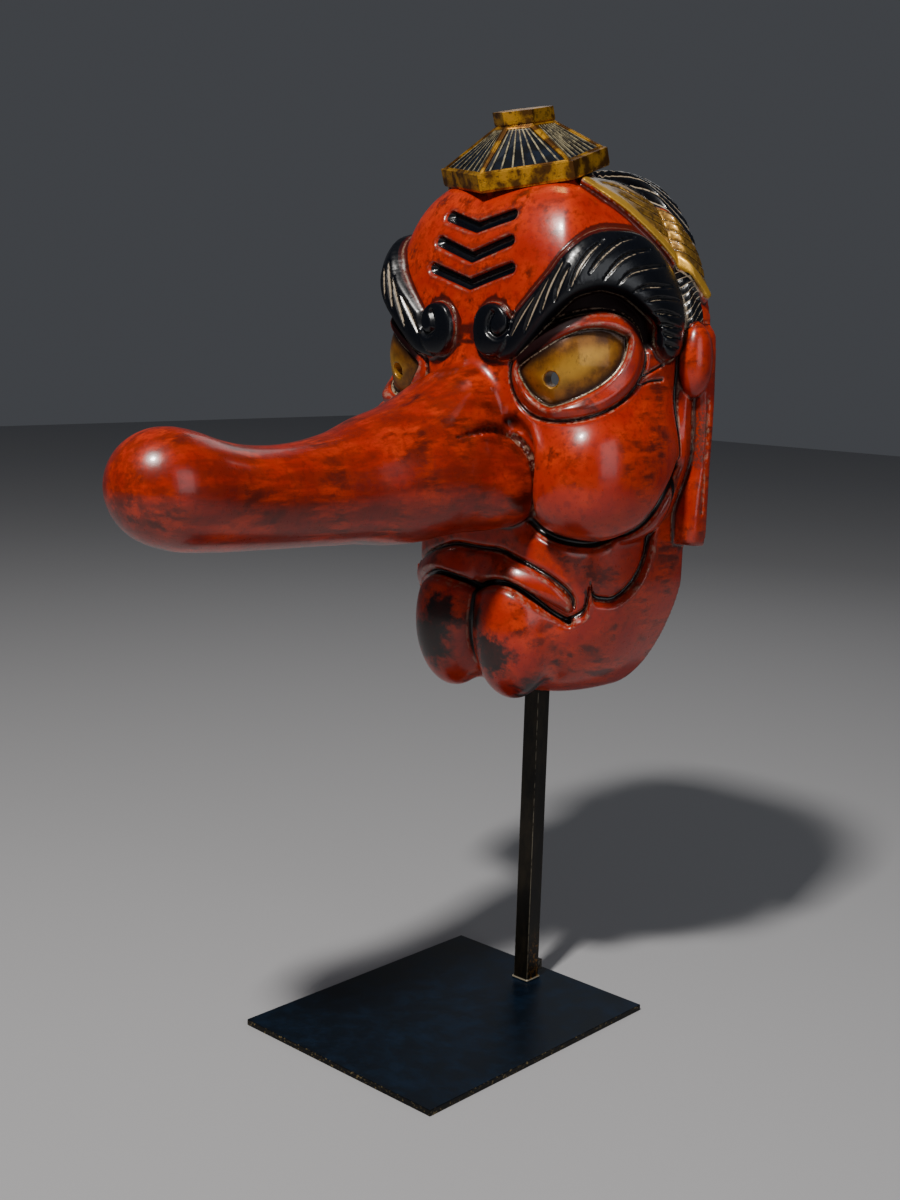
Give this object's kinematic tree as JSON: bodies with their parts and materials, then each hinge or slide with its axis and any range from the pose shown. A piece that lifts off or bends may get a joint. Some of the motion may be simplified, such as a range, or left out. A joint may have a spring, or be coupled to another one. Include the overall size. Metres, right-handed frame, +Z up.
{
  "type": "tengu mask on stand",
  "caption": "Carved lacquered long-nosed face mask with arched brows and a faceted cap, hollow behind, held on an upright steel post over a flat plate.",
  "frame": {"origin": "centre of the base plate's underside, on the floor", "axes": "+Z up along the post, the mask's nose points to -Y, +X to the mask's own left"},
  "size_m": [0.2841, 0.4512, 0.726],
  "materials": {
    "lacquered_wood": "glossy red lacquer, rubbed through and waxed",
    "post_steel": "blackened steel, worn",
    "plate_steel": "blackened steel, satin"
  },
  "bodies": {
    "root": {"mask": "lacquered_wood", "stand_post": "post_steel", "base_plate": "plate_steel"}
  },
  "joints": []
}
